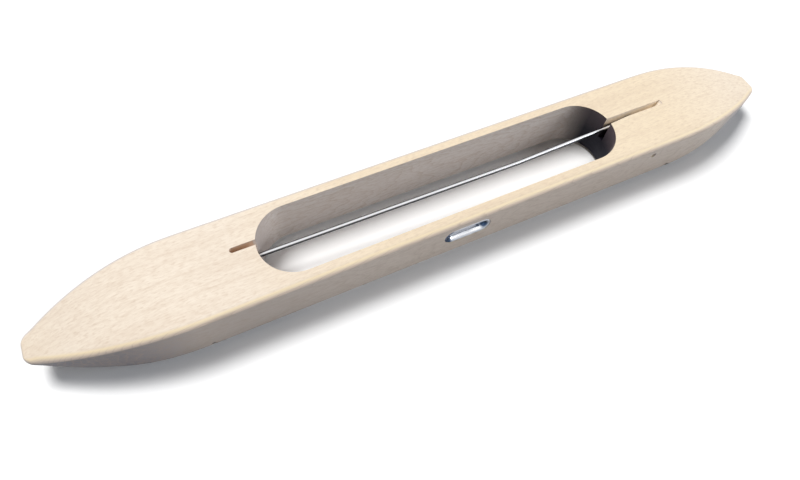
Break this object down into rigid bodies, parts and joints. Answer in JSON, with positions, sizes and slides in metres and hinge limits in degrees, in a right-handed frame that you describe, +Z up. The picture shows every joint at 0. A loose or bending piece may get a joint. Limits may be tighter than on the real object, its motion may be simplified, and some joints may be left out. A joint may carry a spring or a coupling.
{
  "type": "boat shuttle",
  "caption": "Wooden handweaving shuttle, open above and below, with a hinged wire bobbin spindle, a metal thread eyelet in one rail and a roller under each end.",
  "frame": {"origin": "middle of the shuttle, on the surface that its two rollers stand on", "axes": "+X along the shuttle to the end that holds the spindle's pivot, -Y towards the rail with the thread eyelet, +Z up"},
  "size_m": [0.381, 0.0454, 0.028],
  "materials": {
    "maple": "sanded and oiled pale maple, satin",
    "spring_wire": "bright drawn spring wire",
    "pin_steel": "plain steel pin stock",
    "plated_eyelet": "bright nickel plate",
    "roller_plastic": "smooth off-white plastic"
  },
  "bodies": {
    "shuttle": {"body": "maple", "pivot_pin": "pin_steel", "thread_eyelet": "plated_eyelet", "roller_axle_left": "pin_steel", "roller_axle_right": "pin_steel"},
    "bobbin_spindle": {"spindle": "spring_wire"},
    "left_roller": {"roller_left": "roller_plastic"},
    "right_roller": {"roller_right": "roller_plastic"}
  },
  "joints": [
    {"name": "spindle_hinge", "type": "hinge", "parent": "shuttle", "child": "bobbin_spindle", "pos_m": [0.10535, 0.00095, 0.02115], "axis": [0, 1, 0], "range_deg": [0, 152]},
    {"name": "left_roller_spin", "type": "hinge", "parent": "shuttle", "child": "left_roller", "pos_m": [-0.1217, 0, 0.00475], "axis": [0, 1, 0], "continuous": true},
    {"name": "right_roller_spin", "type": "hinge", "parent": "shuttle", "child": "right_roller", "pos_m": [0.1217, 0, 0.00475], "axis": [0, 1, 0], "continuous": true}
  ]
}
